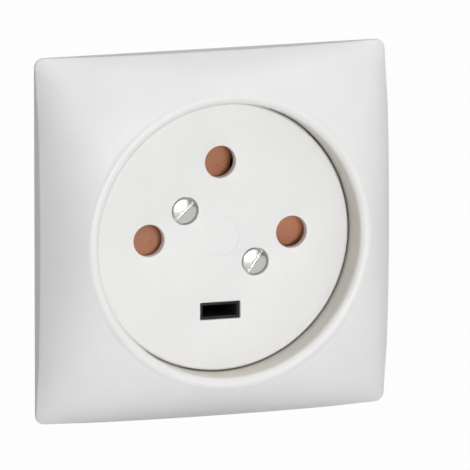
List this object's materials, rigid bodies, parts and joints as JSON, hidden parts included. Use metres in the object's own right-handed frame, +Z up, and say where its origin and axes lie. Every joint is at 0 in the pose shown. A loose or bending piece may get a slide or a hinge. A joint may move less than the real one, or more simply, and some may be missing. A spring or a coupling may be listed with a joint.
{
  "type": "wall power socket",
  "caption": "Square flush wall socket with a deep round well, round pin holes, a flat earth slot, a turning safety shutter and screw terminals at the back",
  "frame": {"origin": "Centre of the back plane of the cover plate, which is the wall's surface: also the centre of the support frame's fixing slots", "axes": "+X to the right and +Z up as seen from the room, +Y into the wall: the well opens toward -Y"},
  "size_m": [0.08, 0.0397, 0.08],
  "materials": {
    "white_plastic": "satin moulded",
    "shutter_plastic": "moulded",
    "black_plastic": "moulded",
    "zinc_steel": "zinc plated",
    "spring_steel": "drawn wire and strip",
    "contact_brass": "turned and stamped"
  },
  "bodies": {
    "socket": {"cover_plate": "white_plastic", "front_disc": "white_plastic", "shutter_spring": "spring_steel", "front_housing": "black_plastic", "rear_housing": "black_plastic", "support_frame": "zinc_steel", "face_screw_upper": "zinc_steel", "face_screw_lower": "zinc_steel", "screw_insert_upper": "contact_brass", "screw_insert_lower": "contact_brass", "body_screw_upper_right": "zinc_steel", "body_screw_upper_left": "zinc_steel", "body_screw_lower_left": "zinc_steel", "body_screw_lower_right": "zinc_steel", "phase_contact_left": "contact_brass", "phase_contact_top": "contact_brass", "phase_contact_right": "contact_brass", "contact_spring_left": "spring_steel", "contact_spring_top": "spring_steel", "contact_spring_right": "spring_steel", "terminal_screw_left": "zinc_steel", "terminal_screw_top": "zinc_steel", "terminal_screw_right": "zinc_steel", "terminal_screw_earth": "zinc_steel", "earth_terminal": "contact_brass", "earth_clip": "contact_brass", "earth_rivet": "contact_brass"},
    "shutter": {"shutter": "shutter_plastic"}
  },
  "joints": [
    {"name": "shutter_turn", "type": "hinge", "parent": "socket", "child": "shutter", "pos_m": [0, 0, 0], "axis": [0, -1, 0], "range_deg": [0, 28], "stiffness_Nm_per_rad": 0.004, "springref_deg": -15, "deforming": ["shutter_spring"]}
  ]
}
